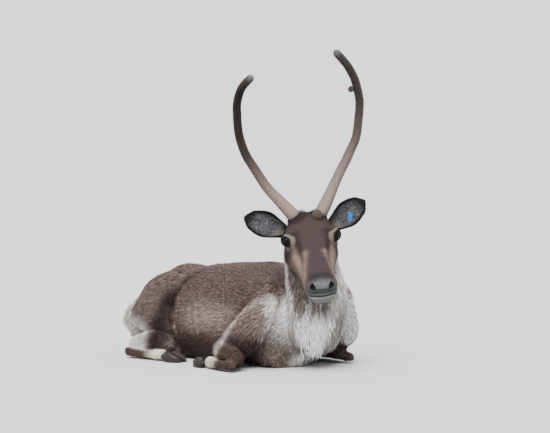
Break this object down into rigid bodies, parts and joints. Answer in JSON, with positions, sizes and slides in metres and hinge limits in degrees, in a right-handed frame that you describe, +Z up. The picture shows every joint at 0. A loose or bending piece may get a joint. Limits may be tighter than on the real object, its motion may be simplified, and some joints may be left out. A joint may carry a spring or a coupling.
{
  "type": "reindeer",
  "caption": "Reindeer in velvet, lying on its breast with its legs folded, back bent and head raised and turned to its right, wearing an ear tag. Still model.",
  "frame": {"origin": "on the floor under the belly, half way along the straight line from breast to rump", "axes": "+Z up; -Y towards the breast, +Y towards the rump; the animal's right side, which is on the inside of its bend, faces -X"},
  "size_m": [0.5696, 1.168, 1.0304],
  "materials": {
    "coat": "dense matt hair, mauve-brown to grey-brown",
    "pale_coat": "long soft off-white hair",
    "velvet": "short velvet, pale at the bases and dark above",
    "horn": "dark hoof horn, slightly worn",
    "eye": "wet, very dark brown",
    "tag": "plain blue plastic"
  },
  "bodies": {
    "root": {"antler_left": "velvet", "antler_left_brow": "velvet", "antler_right": "velvet", "ear_left": "coat", "ear_right": "coat", "ear_tag": "tag", "eye_left": "eye", "eye_right": "eye", "foreleg_cannon_left": "coat", "foreleg_cannon_right": "coat", "foreleg_claw_inner_left": "horn", "foreleg_claw_inner_right": "horn", "foreleg_claw_outer_left": "horn", "foreleg_claw_outer_right": "horn", "foreleg_forearm_left": "coat", "foreleg_forearm_right": "coat", "foreleg_upper_left": "coat", "foreleg_upper_right": "coat", "head": "coat", "hindleg_cannon_left": "coat", "hindleg_cannon_right": "coat", "hindleg_claw_inner_left": "horn", "hindleg_claw_inner_right": "horn", "hindleg_claw_outer_left": "horn", "hindleg_claw_outer_right": "horn", "hindleg_shank_left": "coat", "hindleg_shank_right": "coat", "hindleg_thigh_left": "coat", "hindleg_thigh_right": "coat", "neck": "pale_coat", "tail": "pale_coat", "torso": "coat"}
  },
  "joints": []
}
